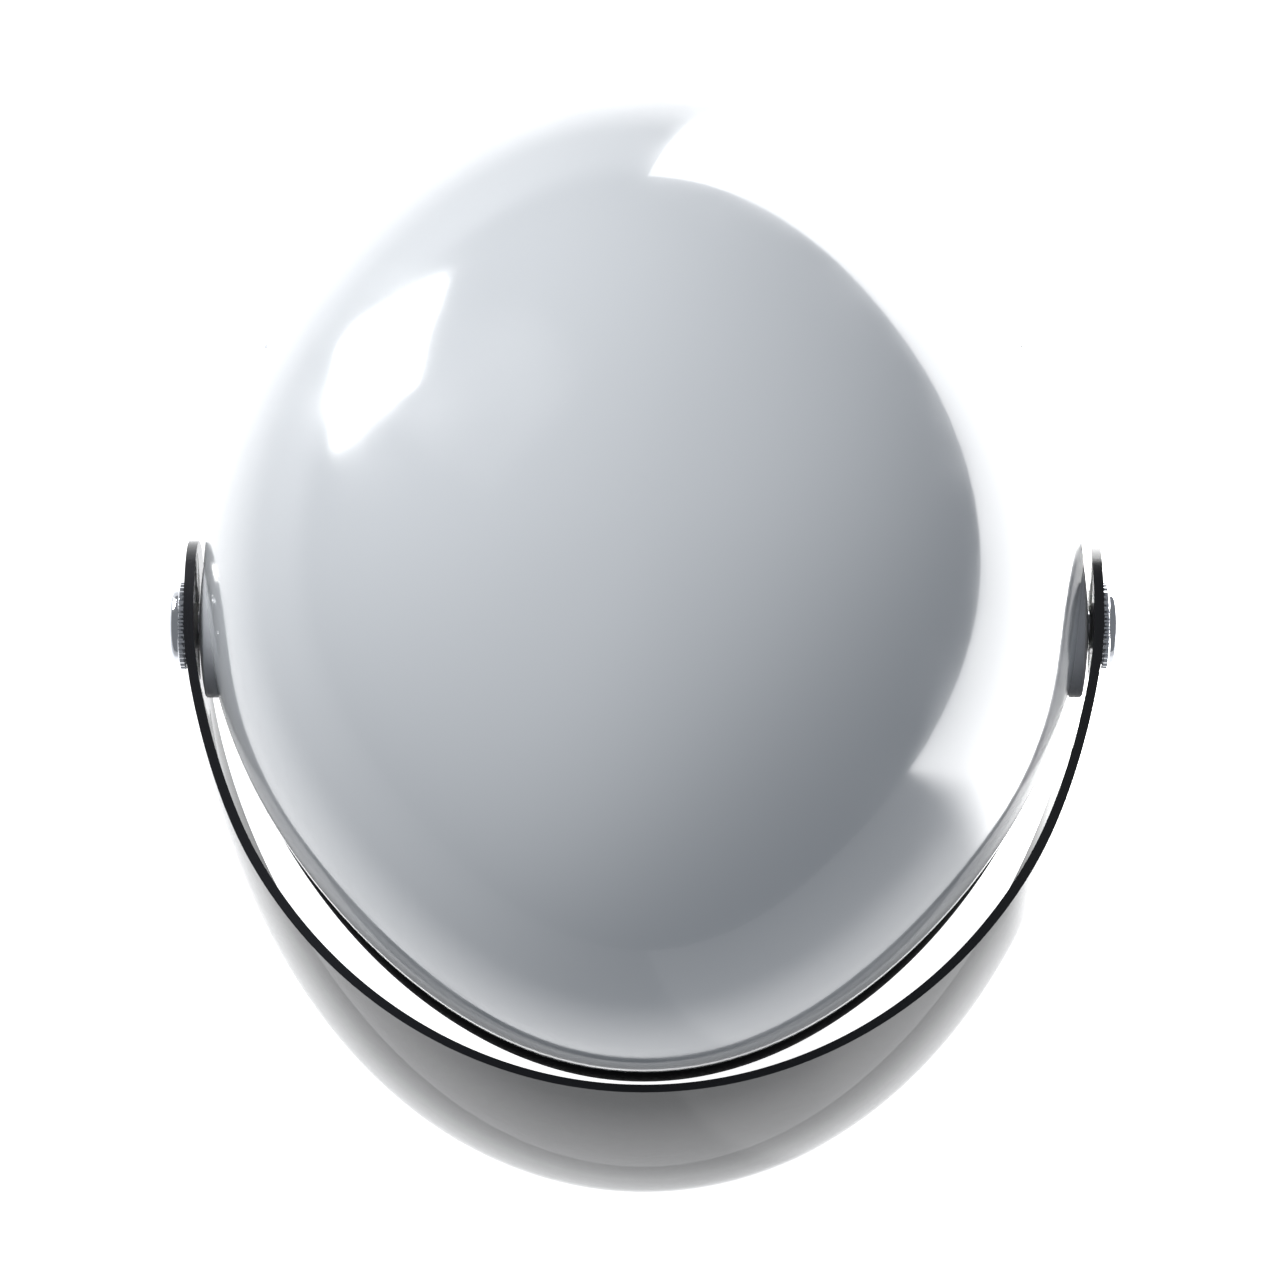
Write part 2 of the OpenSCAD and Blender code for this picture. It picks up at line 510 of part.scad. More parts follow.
shell();
rim_trim();
brow_seal();
visor();
bush(1);  // bush_left
bush(-1);  // bush_right
pivot_pad(1);  // pivot_pad_left
pivot_pad(-1);  // pivot_pad_right
insert(1);  // insert_left
insert(-1);  // insert_right
thumbscrew(1);  // thumbscrew_left
thumbscrew(-1);  // thumbscrew_right
spring_washer(1);  // spring_washer_left
spring_washer(-1);  // spring_washer_right
headband();
sweatband();
tail(1);  // tail_left
tail(-1);  // tail_right
ratchet_front_cover();
ratchet_back_cover();
cover_screws();
ratchet_knob();
pinion();
detent_spring();
nape_pad();
harness_keys();
crown_strap(1, 0);  // crown_strap_a
crown_strap(-1, 3.4);  // crown_strap_b
crown_pad();
crown_rivet();
yoke(1);  // yoke_left
yoke(-1);  // yoke_right
divider(1);  // divider_left
divider(-1);  // divider_right
chin_web_left();
chin_web_right();
buckle_socket();
buckle_plug();
chin_pad();
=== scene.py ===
# %% [markdown]
# # A safety hat with a smoked visor
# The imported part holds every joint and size. This notebook loads it as a fixed frame, then models
# the pieces that show with smooth meshes and gives each one the finish of the real thing.
# Everything is in metres, and each finished piece keeps its place in its mesh.

import math

import bpy
from mathutils import Matrix, Vector


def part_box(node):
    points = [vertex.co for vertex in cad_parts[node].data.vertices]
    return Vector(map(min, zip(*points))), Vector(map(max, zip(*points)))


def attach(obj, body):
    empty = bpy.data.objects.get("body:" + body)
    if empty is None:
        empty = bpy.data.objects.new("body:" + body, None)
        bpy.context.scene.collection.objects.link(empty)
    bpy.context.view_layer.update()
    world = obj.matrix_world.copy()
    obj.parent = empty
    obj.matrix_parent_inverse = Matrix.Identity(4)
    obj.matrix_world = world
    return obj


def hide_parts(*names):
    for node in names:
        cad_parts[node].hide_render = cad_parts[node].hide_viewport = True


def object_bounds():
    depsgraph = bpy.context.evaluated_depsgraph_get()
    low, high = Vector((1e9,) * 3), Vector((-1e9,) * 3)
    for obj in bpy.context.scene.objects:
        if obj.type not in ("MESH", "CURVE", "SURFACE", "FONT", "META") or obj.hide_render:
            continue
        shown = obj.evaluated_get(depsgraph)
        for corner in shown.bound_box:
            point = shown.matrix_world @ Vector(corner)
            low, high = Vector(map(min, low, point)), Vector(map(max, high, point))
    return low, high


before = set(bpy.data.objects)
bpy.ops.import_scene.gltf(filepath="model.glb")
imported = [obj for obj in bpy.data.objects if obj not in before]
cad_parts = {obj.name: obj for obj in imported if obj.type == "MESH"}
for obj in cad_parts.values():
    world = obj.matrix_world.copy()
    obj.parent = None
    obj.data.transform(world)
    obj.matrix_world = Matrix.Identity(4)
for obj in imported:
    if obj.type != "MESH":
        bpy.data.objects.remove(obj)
cad_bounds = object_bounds()
MM = 0.001
print("frame loaded with", len(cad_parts), "nodes")

# %% [markdown]
# ## Sizes from the frame
# Boxes of five imported nodes give the main sizes below, so that the looks always sit on the CAD part.
# The other sizes are given as numbers.
# The shell's dome starts at its widest level. Below it the wall tucks in towards the rim.

# %% Sizes
shell_lo, shell_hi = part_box("shell")
visor_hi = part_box("visor")[1]
knob_lo, knob_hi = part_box("thumbscrew_left")
pad_lo, pad_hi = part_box("pivot_pad_left")
bush_lo, bush_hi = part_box("bush_left")
HALF_W = shell_hi.x
FRONT_L, BACK_L = -shell_lo.y, shell_hi.y
DOME_BASE = 15 * MM
DOME_H = shell_hi.z - DOME_BASE
WALL = 2.8 * MM
RIM_MID = 17 * MM
RIM_DROP = 7 * MM
PULL_FRONT, PULL_BACK, SWELL, TUCK = 0.036, 0.024, 0.01, 0.46
PIVOT_Y = (knob_lo.y + knob_hi.y) / 2
PIVOT_Z = (knob_lo.z + knob_hi.z) / 2
KNOB_R = (knob_hi.y - knob_lo.y) / 2
print("shell", round(2 * HALF_W, 4), "wide and", round(FRONT_L + BACK_L, 4), "long")

# %% [markdown]
# ## Two helpers for making pieces
# A curved moulding could be sculpted, or lofted from curves. Here a flat grid is added, and each of
# its points is carried to its place on the moulding by a short formula, as cloth is laid over a
# form. That keeps the skin made of even squares, which is what a glossy surface needs.

# %% Helpers: select nothing, apply a modifier, lay a grid over a form
def start_clean():
    if bpy.context.object and bpy.context.object.mode != "OBJECT":
        bpy.ops.object.mode_set(mode="OBJECT")
    bpy.ops.object.select_all(action="DESELECT")


def only(piece):
    start_clean()
    piece.select_set(True)
    bpy.context.view_layer.objects.active = piece


def modify(piece, kind, **settings):
    only(piece)
    modifier = piece.modifiers.new(kind.title(), kind)
    for name, value in settings.items():
        setattr(modifier, name, value)
    bpy.ops.object.modifier_apply(modifier=modifier.name)


def lay_grid(name, across, along, place, uv_size=(1, 1)):
    """A grid of across by along squares, its point (u, v) carried to place(u, v)."""
    start_clean()
    bpy.ops.mesh.primitive_grid_add(x_subdivisions=across, y_subdivisions=along, size=1)
    piece = bpy.context.object
    piece.name = piece.data.name = name
    for point in piece.data.vertices:
        u = round((point.co.x + 0.5) * across) / across
        v = round((point.co.y + 0.5) * along) / along
        point.co = place(u, v)
    for spot in piece.data.uv_layers[0].data:
        spot.uv = (spot.uv[0] * uv_size[0], spot.uv[1] * uv_size[1])
    bpy.ops.object.mode_set(mode="EDIT")
    bpy.ops.mesh.select_all(action="SELECT")
    bpy.ops.mesh.remove_doubles(threshold=1e-6)
    bpy.ops.mesh.normals_make_consistent(inside=False)
    bpy.ops.object.mode_set(mode="OBJECT")
    return piece


def face_away_from(piece, middle):
    """Turns the faces over if most of them look towards middle."""
    tally = sum(f.area * (1 if f.normal.dot(f.center - Vector(middle)) > 0 else -1)
                for f in piece.data.polygons)
    if tally < 0:
        only(piece)
        bpy.ops.object.mode_set(mode="EDIT")
        bpy.ops.mesh.select_all(action="SELECT")
        bpy.ops.mesh.flip_normals()
        bpy.ops.object.mode_set(mode="OBJECT")


def smooth(piece, degrees=35):
    only(piece)
    bpy.ops.object.shade_smooth_by_angle(angle=math.radians(degrees))


def finish(piece, finishes, body, *stands_for, slot=None):
    """Gives a piece its materials and its body, and hides the CAD nodes that it stands for."""
    piece.data.materials.clear()
    for material in finishes:
        piece.data.materials.append(material)
    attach(piece, body)
    if stands_for:
        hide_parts(*stands_for)
    print(piece.name, len(piece.data.polygons), "faces")
    return piece


def mix(a, b, k):
    return a + (b - a) * k


def ease(k):
    k = min(1, max(0, k))
    return k * k * (3 - 2 * k)


# %% [markdown]
# ## Materials
# Colours are written as sRGB hex values, as a paint maker gives them, and turned to linear light by
# one function. One more function adds a node with its settings and its links.

# %% Material helpers
def linear(hex_colour):
    channels = [int(hex_colour[i:i + 2], 16) / 255 for i in (1, 3, 5)]
    return tuple(c / 12.92 if c <= 0.04045 else ((c + 0.055) / 1.055) ** 2.4
                 for c in channels) + (1,)


def add(tree, kind, links=None, **settings):
    """A node of that kind. settings are attributes or input values, links are input: output."""
    new = tree.nodes.new("ShaderNode" + kind)
    for name, value in settings.items():
        if hasattr(new, name):
            setattr(new, name, value)
        else:
            new.inputs[name.replace("_", " ")].default_value = value
    for name, output in (links or {}).items():
        tree.links.new(output, new.inputs[name])
    return new


def material(name, colour, **settings):
    """A new material with a Principled shader, and the tree to add its pattern to."""
    made = bpy.data.materials.new(name)
    made.use_nodes = True
    shader = made.node_tree.nodes["Principled BSDF"]
    shader.inputs["Base Color"].default_value = linear(colour)
    for key, value in settings.items():
        shader.inputs[key.replace("_", " ")].default_value = value
    return made, made.node_tree, shader


def bumpy(tree, shader, height, strength, distance, socket="Normal"):
    bump = add(tree, "Bump", {"Height": height}, Strength=strength, Distance=distance)
    tree.links.new(bump.outputs["Normal"], shader.inputs[socket])


def grain(tree, size, **settings):
    """Even noise with lumps of that size, read from the object's own coordinates."""
    place = add(tree, "TexCoord")
    return add(tree, "TexNoise", {"Vector": place.outputs["Object"]}, Scale=1 / size, **settings)


def varied(tree, shader, source, low, high, socket="Roughness"):
    """The source's swing from 0 to 1 drives a socket between two values."""
    spread = add(tree, "MapRange", {"Value": source}, From_Min=0.35, From_Max=0.65, To_Min=low, To_Max=high)
    tree.links.new(spread.outputs["Result"], shader.inputs[socket])


# %% Shell, visor and metal finishes
# ABS, injection moulded against a polished tool: glossy, very slightly wavy where it cooled over
# the form, with faint handling haze that only shows in its highlights.
shell_white, tree, shader = material("ABS moulded gloss white", "#E4E8EC", Roughness=0.16, IOR=1.54,
                                     Coat_Weight=0.6, Coat_Roughness=0.03)
haze = grain(tree, 22 * MM, Detail=4)
varied(tree, shader, haze.outputs["Fac"], 0.12, 0.2)
sink = grain(tree, 60 * MM, Detail=1)
bumpy(tree, shader, sink.outputs["Fac"], 0.12, 1.2 * MM)

# Polycarbonate sheet, smoke tinted in the melt and hard coated: it takes about half of the light at
# each face, mirrors its surroundings sharply, and its cut edge gathers light until it looks black.
visor_smoke, tree, shader = material("Polycarbonate smoke tint", "#12141C", Roughness=0.03, IOR=1.586,
                                     Alpha=0.72, Coat_Weight=0.3, Coat_Roughness=0.02)
wipe = grain(tree, 35 * MM, Detail=5)
varied(tree, shader, wipe.outputs["Fac"], 0.015, 0.06)
visor_smoke.surface_render_method = "BLENDED"
visor_edge, tree, shader = material("Polycarbonate cut edge", "#141419", Roughness=0.22, IOR=1.586)
saw = grain(tree, 0.9 * MM, Detail=2)
bumpy(tree, shader, saw.outputs["Fac"], 0.3, 0.08 * MM)

# Zinc die casting, chromium plated over nickel: mirror bright with the plating's soft ripple.
chrome, tree, shader = material("Chromium plated zinc", "#D6D8DC", Metallic=1, Roughness=0.09)
ripple = grain(tree, 3 * MM, Detail=2)
bumpy(tree, shader, ripple.outputs["Fac"], 0.06, 0.1 * MM)
varied(tree, shader, ripple.outputs["Fac"], 0.06, 0.14)
steel, tree, shader = material("Stainless spring steel", "#A9ABAF", Metallic=1, Roughness=0.32)
brush = grain(tree, 0.7 * MM, Detail=3)
varied(tree, shader, brush.outputs["Fac"], 0.24, 0.4)

# %% Rubber, nylon and harness finishes
# EPDM rubber, extruded: black with a dry bloom and a fine skin.
rubber, tree, shader = material("EPDM rubber black", "#17171A", Roughness=0.5)
skin = grain(tree, 1.2 * MM, Detail=4)
varied(tree, shader, skin.outputs["Fac"], 0.4, 0.62)
bumpy(tree, shader, skin.outputs["Fac"], 0.25, 0.06 * MM)


def nylon(name, colour, gloss, size=0.8 * MM):
    """Moulded nylon with the fine spark-eroded grain of its tool, drawn coarse enough to show."""
    made, tree, shader = material(name, colour, Roughness=gloss, IOR=1.53)
    fine = grain(tree, size, Detail=2)
    bumpy(tree, shader, fine.outputs["Fac"], 0.3, 0.06 * MM)
    varied(tree, shader, fine.outputs["Fac"], gloss - 0.06, gloss + 0.08)
    return made


nylon_white = nylon("Nylon natural white", "#EDEDE8", 0.35)
nylon_grey = nylon("Nylon light grey", "#DCDEE2", 0.4)
nylon_black = nylon("Nylon glass filled black", "#1B1B1E", 0.45)
band_grey = nylon("Polyethylene harness grey", "#3A3C42", 0.42)
acetal = nylon("Acetal natural", "#DCDACB", 0.34)


def webbing_finish(name, colour, accent, mapped=True):
    """Polyester webbing, woven: ribs run across the strap, and two finer lines run along it."""
    made, tree, shader = material(name, colour, Roughness=0.78, Sheen_Weight=0.35)
    # The straps' UV maps are in millimetres: 1.6 mm ribs, and 1 mm yarns across them. A strap that hangs
    # straight down has none, and reads its own height and depth in metres instead.
    place = add(tree, "UVMap").outputs["UV"] if mapped else add(tree, "TexCoord").outputs["Object"]
    unit, down = (1, "X") if mapped else (1000, "Z")
    ribs = add(tree, "TexWave", {"Vector": place}, wave_type="BANDS",
               bands_direction=down, Scale=0.2 * unit, Distortion=0.6, Detail=1, Detail_Scale=2)
    yarns = add(tree, "TexWave", {"Vector": place}, wave_type="BANDS",
                bands_direction="Y", Scale=0.32 * unit, Distortion=0.4, Detail=1, Detail_Scale=2)
    weave = add(tree, "Math", {0: ribs.outputs["Fac"], 1: yarns.outputs["Fac"]}, operation="MULTIPLY")
    tint = add(tree, "Mix", {"Factor": weave.outputs[0]}, data_type="RGBA")
    tint.inputs[6].default_value = linear(colour)
    tint.inputs[7].default_value = linear(accent)
    tree.links.new(tint.outputs[2], shader.inputs["Base Color"])
    bumpy(tree, shader, weave.outputs[0], 0.7, 0.3 * MM)
    return made


webbing = webbing_finish("Polyester webbing charcoal", "#202228", "#4A4E58")
hung_webbing = webbing_finish("Polyester webbing hung", "#202228", "#4A4E58", mapped=False)


def foam_finish(name, colour, painted_light):
    """Brushed tricot over foam: soft, matt, with the knit's tiny pits, painted darker as shade."""
    made, tree, shader = material(name, colour, Roughness=0.9, Sheen_Weight=0.5, Sheen_Roughness=0.4)
    place = add(tree, "TexCoord")
    pits = add(tree, "TexVoronoi", {"Vector": place.outputs["Object"]}, Scale=1 / (1.7 * MM),
               feature="F1", Randomness=0.35)
    # Painted shade darkens the pits, and painted light brightens the rims between them.
    tint = add(tree, "Mix", {"Factor": pits.outputs["Distance"]}, data_type="RGBA")
    tint.inputs[6].default_value = linear(colour)
    tint.inputs[7].default_value = linear(painted_light)
    tree.links.new(tint.outputs[2], shader.inputs["Base Color"])
    bumpy(tree, shader, pits.outputs["Distance"], 0.5, 0.25 * MM)
    return made


foam = foam_finish("Tricot over foam black", "#1B1C20", "#34363C")

# %% [markdown]
# ## The shell
# On the real hat this is one injection moulding, thin and smooth, with no brim. It could be a
# scaled sphere, but its outline is a little squarer at the brow and its wall tucks in at the rim,
# so a grid is laid over those curves and given its thickness by Solidify.

# %% Shell surface
def outline(turn, inset):
    pull = PULL_FRONT if math.sin(turn) < 0 else PULL_BACK
    length = FRONT_L if math.sin(turn) < 0 else BACK_L
    k = 1 - pull * math.sin(2 * turn) ** 2
    return k * (HALF_W - inset) * math.cos(turn), k * (length - inset) * math.sin(turn)


def on_dome(turn, rise, inset=0):
    x, y = outline(turn, inset)
    q = 1 + SWELL * math.sin(2 * rise) ** 2
    return Vector((x * math.cos(rise) * q, y * math.cos(rise) * q,
                   DOME_BASE + (DOME_H - inset) * math.sin(rise) * q))


def on_wall(turn, z, inset=0):
    x, y = outline(turn, inset)
    k = 1 - TUCK * ((DOME_BASE - z) / DOME_H) ** 2
    return Vector((x * k, y * k, z))


def rim_height(turn):
    return -RIM_MID - RIM_DROP * math.sin(turn)


def on_shell(u, v):
    turn = 2 * math.pi * u
    if v < 0.25:
        return on_wall(turn, mix(rim_height(turn), DOME_BASE, v / 0.25))
    return on_dome(turn, (v - 0.25) / 0.75 * math.pi / 2)


shell = lay_grid("shell_moulding", 160, 64, on_shell)
face_away_from(shell, (0, 0, 0))
modify(shell, "SOLIDIFY", thickness=WALL, offset=-1)
smooth(shell, 50)

# %% [markdown]
# The four harness sockets are moulded inside the wall. Each is a small block with a slot through
# it for its key, inset and pushed down from a bevelled cube.

# %% Harness sockets
SOCKET_TURNS = (-50, 25)
BAND_H = 30 * MM
SOCKET_H = 12 * MM


def band_front(angle, out, z, opening=(76 * MM, 126 * MM), tilt_at=22):
    tilt = math.radians(24) * min(1, max(0, 1 - math.degrees(angle) / tilt_at))
    w = z - BAND_H / 2
    return Vector(((opening[0] + out) * math.cos(angle),
                   26 * MM - (opening[1] + out) * math.sin(angle) + w * math.sin(tilt),
                   BAND_H / 2 + w * math.cos(tilt)))


def nape(r, phi, z):
    """A point on the nape's tilted arc, phi from the wearer's left."""
    y, w, tilt = r * math.sin(phi), z - BAND_H / 2, math.radians(24)
    return Vector((r * math.cos(phi), 26 * MM + y * math.cos(tilt) + w * math.sin(tilt),
                   BAND_H / 2 - y * math.sin(tilt) + w * math.cos(tilt)))


key_starts = (band_front(math.radians(52), 1.1 * MM, BAND_H), nape(77.1 * MM, math.radians(12), BAND_H))


def socket(side, k):
    wall = on_dome(math.radians(SOCKET_TURNS[k]), math.radians(6), WALL)
    heading = math.atan2(key_starts[k].y - wall.y, key_starts[k].x - wall.x)
    start_clean()
    bpy.ops.mesh.primitive_cube_add(size=1)
    block = bpy.context.object
    bpy.ops.object.mode_set(mode="EDIT")
    bpy.ops.transform.resize(value=(6.6 * MM, 18 * MM, SOCKET_H))
    bpy.ops.object.mode_set(mode="OBJECT")
    top = max(block.data.polygons, key=lambda f: f.center.z).index
    bpy.ops.object.mode_set(mode="EDIT")
    bpy.ops.mesh.select_all(action="DESELECT")
    bpy.ops.object.mode_set(mode="OBJECT")
    block.data.polygons[top].select = True
    bpy.ops.object.mode_set(mode="EDIT")
    bpy.ops.mesh.inset(thickness=1.8 * MM)
    bpy.ops.mesh.extrude_region_move(TRANSFORM_OT_translate={"value": (0, 0, -9 * MM)})
    bpy.ops.mesh.select_all(action="SELECT")
    bpy.ops.object.mode_set(mode="OBJECT")
    modify(block, "BEVEL", width=0.5 * MM, segments=2, limit_method="ANGLE")
    block.data.transform(Matrix.Translation((wall.x, wall.y, BAND_H - SOCKET_H / 2))
                         @ Matrix.Rotation(heading, 4, "Z") @ Matrix.Translation((2.4 * MM, 0, 0)))
    if side < 0:
        block.data.transform(Matrix.Scale(-1, 4, (1, 0, 0)))
        block.data.flip_normals()
    smooth(block)
    return block


sockets = [socket(side, k) for side in (1, -1) for k in (0, 1)]
only(shell)
for block in sockets:
    block.select_set(True)
bpy.ops.object.join()
finish(shell, [shell_white], "hat", "shell", slot="white_shell")

# %% [markdown]
# ## Rim trim and brow seal
# The trim is an extruded rubber bead pressed over the shell's edge. Its section is a U with round
# lips. A path and a bevel curve could carry it, but a grid whose one side runs round the rim and
# whose other side runs round the section also follows the rim's rise at the brow.

# %% Rim trim
BEAD_H = 9 * MM
TRIM_T = 1.4 * MM


def round_the_bead(v):
    """(height above the rim, outward offset) round the U: outside up, over the lips, inside down."""
    mid, half = -WALL / 2, WALL / 2 + TRIM_T
    low, top = -TRIM_T, BEAD_H
    lip = TRIM_T / 2
    stops = [(low + 0.5 * MM, mid + half), (top - lip, mid + half), (top - 0.1 * MM, mid + half - lip * 0.6),
             (top - 0.5 * MM, 0.06 * MM), (0.05 * MM, 0.05 * MM), (0.05 * MM, -WALL - 0.05 * MM),
             (top - 0.5 * MM, -WALL - 0.06 * MM), (top - 0.1 * MM, mid - half + lip * 0.6),
             (top - lip, mid - half), (low + 0.5 * MM, mid - half), (low, mid - half + 0.6 * MM),
             (low, mid + half - 0.6 * MM)]
    return stops[round(v * len(stops)) % len(stops)]


def on_trim(u, v):
    turn = 2 * math.pi * u
    up, out = round_the_bead(v)
    return on_wall(turn, rim_height(turn) + up, -out)


trim = lay_grid("rim_trim_bead", 160, 12, on_trim)
smooth(trim, 60)
finish(trim, [rubber], "hat", "rim_trim", slot="black_rubber")

# %% Brow seal
SEAL_OUT = 2.6 * MM
SEAL_FROM, SEAL_TO = math.radians(200), math.radians(340)


def on_seal(u, v):
    turn = mix(SEAL_FROM, SEAL_TO, u)
    fullness = ease(math.sin(u * math.pi) * 1.3)
    out = mix(0.7 * MM, SEAL_OUT, fullness) * (0.15 + 0.85 * min(1, 14 * min(u, 1 - u)))
    base = rim_height(turn) + BEAD_H + 0.2 * MM
    lip = [(0, 0.05), (0.35, 0.6), (0.1, 0.8), (0.6, 0.97), (1.6, 1.0), (2.8, 0.92), (4.0, 0.7), (5.0, 0.35),
           (5.5, 0.05)]
    up, share = lip[round(v * (len(lip) - 1))]
    return on_wall(turn, base + up * MM, -share * out)


seal = lay_grid("brow_seal_strip", 96, 8, on_seal)
face_away_from(seal, (0, 0, 0))
modify(seal, "SOLIDIFY", thickness=0.5 * MM, offset=-1)
smooth(seal, 60)
finish(seal, [rubber], "hat", "brow_seal", slot="black_rubber")

# %% [markdown]
# ## The visor
# The real visor is one sheet, cut flat and blow-formed until it bulges away from the face, with a
# round ear at each end. The grid runs from ear to ear one way and from top edge to lower edge the
# other. Solidify gives it the sheet's thickness, and its rim faces take the cut-edge finish.

# %% Visor surface
VISOR_T = 2.6 * MM
REACH, CURVE_R = 122.5 * MM, 121.5 * MM
TOP_Z, LOW_Z, FULL_Z, SIDE_LIFT = 20 * MM, -90 * MM, -50 * MM, 42 * MM
EAR_R = visor_hi.y - PIVOT_Y
EAR_R = max(EAR_R, 22.3 * MM)
VISOR_A = visor_hi.x
BULGE = CURVE_R - math.sqrt(CURVE_R ** 2 - (TOP_Z - FULL_Z) ** 2)
EAR_TURN = math.radians(36.7)
EDGE_Y = PIVOT_Y + EAR_R * math.sin(EAR_TURN)
EDGE_Z = PIVOT_Z - EAR_R * math.cos(EAR_TURN)
EDGE_RUN = EDGE_Y - (PIVOT_Y - REACH - BULGE)


def lower_edge(y):
    if y > EDGE_Y:
        return PIVOT_Z - math.sqrt(max(0, EAR_R ** 2 - (y - PIVOT_Y) ** 2))
    return LOW_Z + (EDGE_Z - LOW_Z) * (1 - min(1, max(0, (EDGE_Y - y) / EDGE_RUN))) ** 1.27


def upper_edge(y):
    if y > PIVOT_Y:
        return PIVOT_Z + math.sqrt(max(0, EAR_R ** 2 - (y - PIVOT_Y) ** 2))
    return mix(TOP_Z, PIVOT_Z + EAR_R, ease((y - PIVOT_Y + 62 * MM) / (62 * MM)))


def on_sheet(angle, z):
    forward = math.sqrt(CURVE_R ** 2 - (max(z, FULL_Z) - FULL_Z) ** 2)
    reach = REACH + forward - math.sqrt(CURVE_R ** 2 - (TOP_Z - FULL_Z) ** 2)
    start = FULL_Z + SIDE_LIFT * math.cos(angle) ** 2
    tuck = 0 if z >= start else CURVE_R - math.sqrt(CURVE_R ** 2 - (z - start) ** 2)
    out = Vector((math.cos(angle) / VISOR_A, -math.sin(angle) / reach)).normalized()
    return Vector((VISOR_A * math.cos(angle) - out.x * tuck,
                   PIVOT_Y - reach * math.sin(angle) - out.y * tuck, z))


EAR_SHARE = 0.1


def on_visor(u, v):
    side = 1 if u < 0.5 else -1
    near = min(u, 1 - u)
    if near < EAR_SHARE:
        y = PIVOT_Y + EAR_R * math.sin(math.pi / 2 * (1 - near / EAR_SHARE))
        return Vector((side * VISOR_A, y, mix(upper_edge(y), lower_edge(y), v)))
    angle = math.pi * (u - EAR_SHARE) / (1 - 2 * EAR_SHARE)
    y = PIVOT_Y - REACH * math.sin(angle)
    top = upper_edge(y)
    for _ in range(6):
        y = on_sheet(angle, lower_edge(y)).y
    return on_sheet(angle, mix(top, lower_edge(y), v))


visor = lay_grid("visor_sheet", 200, 40, on_visor)
face_away_from(visor, (0, 0, 0))
visor.data.materials.clear()
visor.data.materials.append(visor_smoke)
visor.data.materials.append(visor_edge)
modify(visor, "SOLIDIFY", thickness=VISOR_T, offset=-1, material_offset_rim=1)
rim_faces = [f.index for f in visor.data.polygons if f.material_index == 1]
print("visor rim faces", len(rim_faces))
smooth(visor, 40)
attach(visor, "visor")
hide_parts("visor")

# %% [markdown]
# ## Turned pieces at the hinge
# The pad, bush and thumbscrew are round about the hinge. Each starts as one edge of its section
# and is spun round the axis, as on a lathe. The thumbscrew's skirt then gets its teeth: every other
# strip of faces round the skirt is pushed in.

# %% Lathe
def lathe(name, section, steps=64):
    """Spins a section of (radius, distance out) points round +X at the hinge."""
    start_clean()
    bpy.ops.mesh.primitive_plane_add(size=1)
    piece = bpy.context.object
    piece.name = piece.data.name = name
    bpy.ops.object.mode_set(mode="EDIT")
    bpy.ops.mesh.delete(type="ONLY_FACE")
    bpy.ops.mesh.select_all(action="SELECT")
    bpy.ops.mesh.delete(type="VERT")
    bpy.ops.object.mode_set(mode="OBJECT")
    points = [Vector((x, r, 0)) for r, x in section]
    piece.data.from_pydata(points, [(i, i + 1) for i in range(len(points) - 1)], [])
    only(piece)
    bpy.ops.object.mode_set(mode="EDIT")
    bpy.ops.mesh.select_all(action="SELECT")
    bpy.ops.mesh.spin(steps=steps, angle=2 * math.pi, center=(0, 0, 0), axis=(1, 0, 0), use_auto_merge=True)
    bpy.ops.mesh.select_all(action="SELECT")
    bpy.ops.mesh.remove_doubles(threshold=2e-6)
    bpy.ops.mesh.normals_make_consistent(inside=False)
    bpy.ops.object.mode_set(mode="OBJECT")
    return piece


def on_both_sides(piece, finishes, bodies, nodes, slot):
    """The left piece as modelled, and its mirror image with its own mesh on the right."""
    twin = piece.copy()
    twin.data = piece.data.copy()
    bpy.context.collection.objects.link(twin)
    place = Matrix.Translation((0, PIVOT_Y, PIVOT_Z))
    piece.data.transform(place)
    twin.data.transform(Matrix.Scale(-1, 4, (1, 0, 0)) @ place)
    twin.data.flip_normals()
    for thing, side, body, node in zip((piece, twin), ("left", "right"), bodies, nodes):
        thing.name = thing.data.name = f"{piece.name.replace('_left', '')}_{side}"
        finish(thing, finishes, body, node, slot=slot)


# %% Pads and bushes
PAD_R = (pad_hi.y - pad_lo.y) / 2
pad_in = HALF_W - 6 * MM


def pad_face(radius):
    """The pad's face falls away from the axis, as the ear of the visor does towards the brow."""
    return pad_hi.x - radius ** 2 * VISOR_A / (2 * REACH ** 2) * 1.15


pad = lathe("hinge_pad", [(4 * MM, pad_in), (PAD_R, pad_in), (PAD_R, pad_face(PAD_R) - 0.4 * MM),
                          (PAD_R - 0.4 * MM, pad_face(PAD_R))]
            + [(PAD_R * k, pad_face(PAD_R * k)) for k in (0.85, 0.7, 0.5, 0.3)]
            + [(4 * MM, pad_face(4 * MM)), (4 * MM, pad_in)])
smooth(pad, 40)
on_both_sides(pad, [nylon_grey], ("hat", "hat"), ("pivot_pad_left", "pivot_pad_right"), "grey_nylon")

bush_r = (bush_hi.y - bush_lo.y) / 2
bush = lathe("ear_bush", [(4, bush_lo.x / MM), (6, bush_lo.x / MM), (6, VISOR_A / MM),
                          (bush_r / MM - 0.15, VISOR_A / MM), (bush_r / MM, VISOR_A / MM + 0.15),
                          (bush_r / MM, bush_hi.x / MM - 0.15),
                          (bush_r / MM - 0.15, bush_hi.x / MM), (4, bush_hi.x / MM),
                          (4, bush_lo.x / MM)])
bush.data.transform(Matrix.Scale(MM, 4))
smooth(bush, 40)
on_both_sides(bush, [nylon_white], ("visor", "visor"), ("bush_left", "bush_right"), "white_nylon")

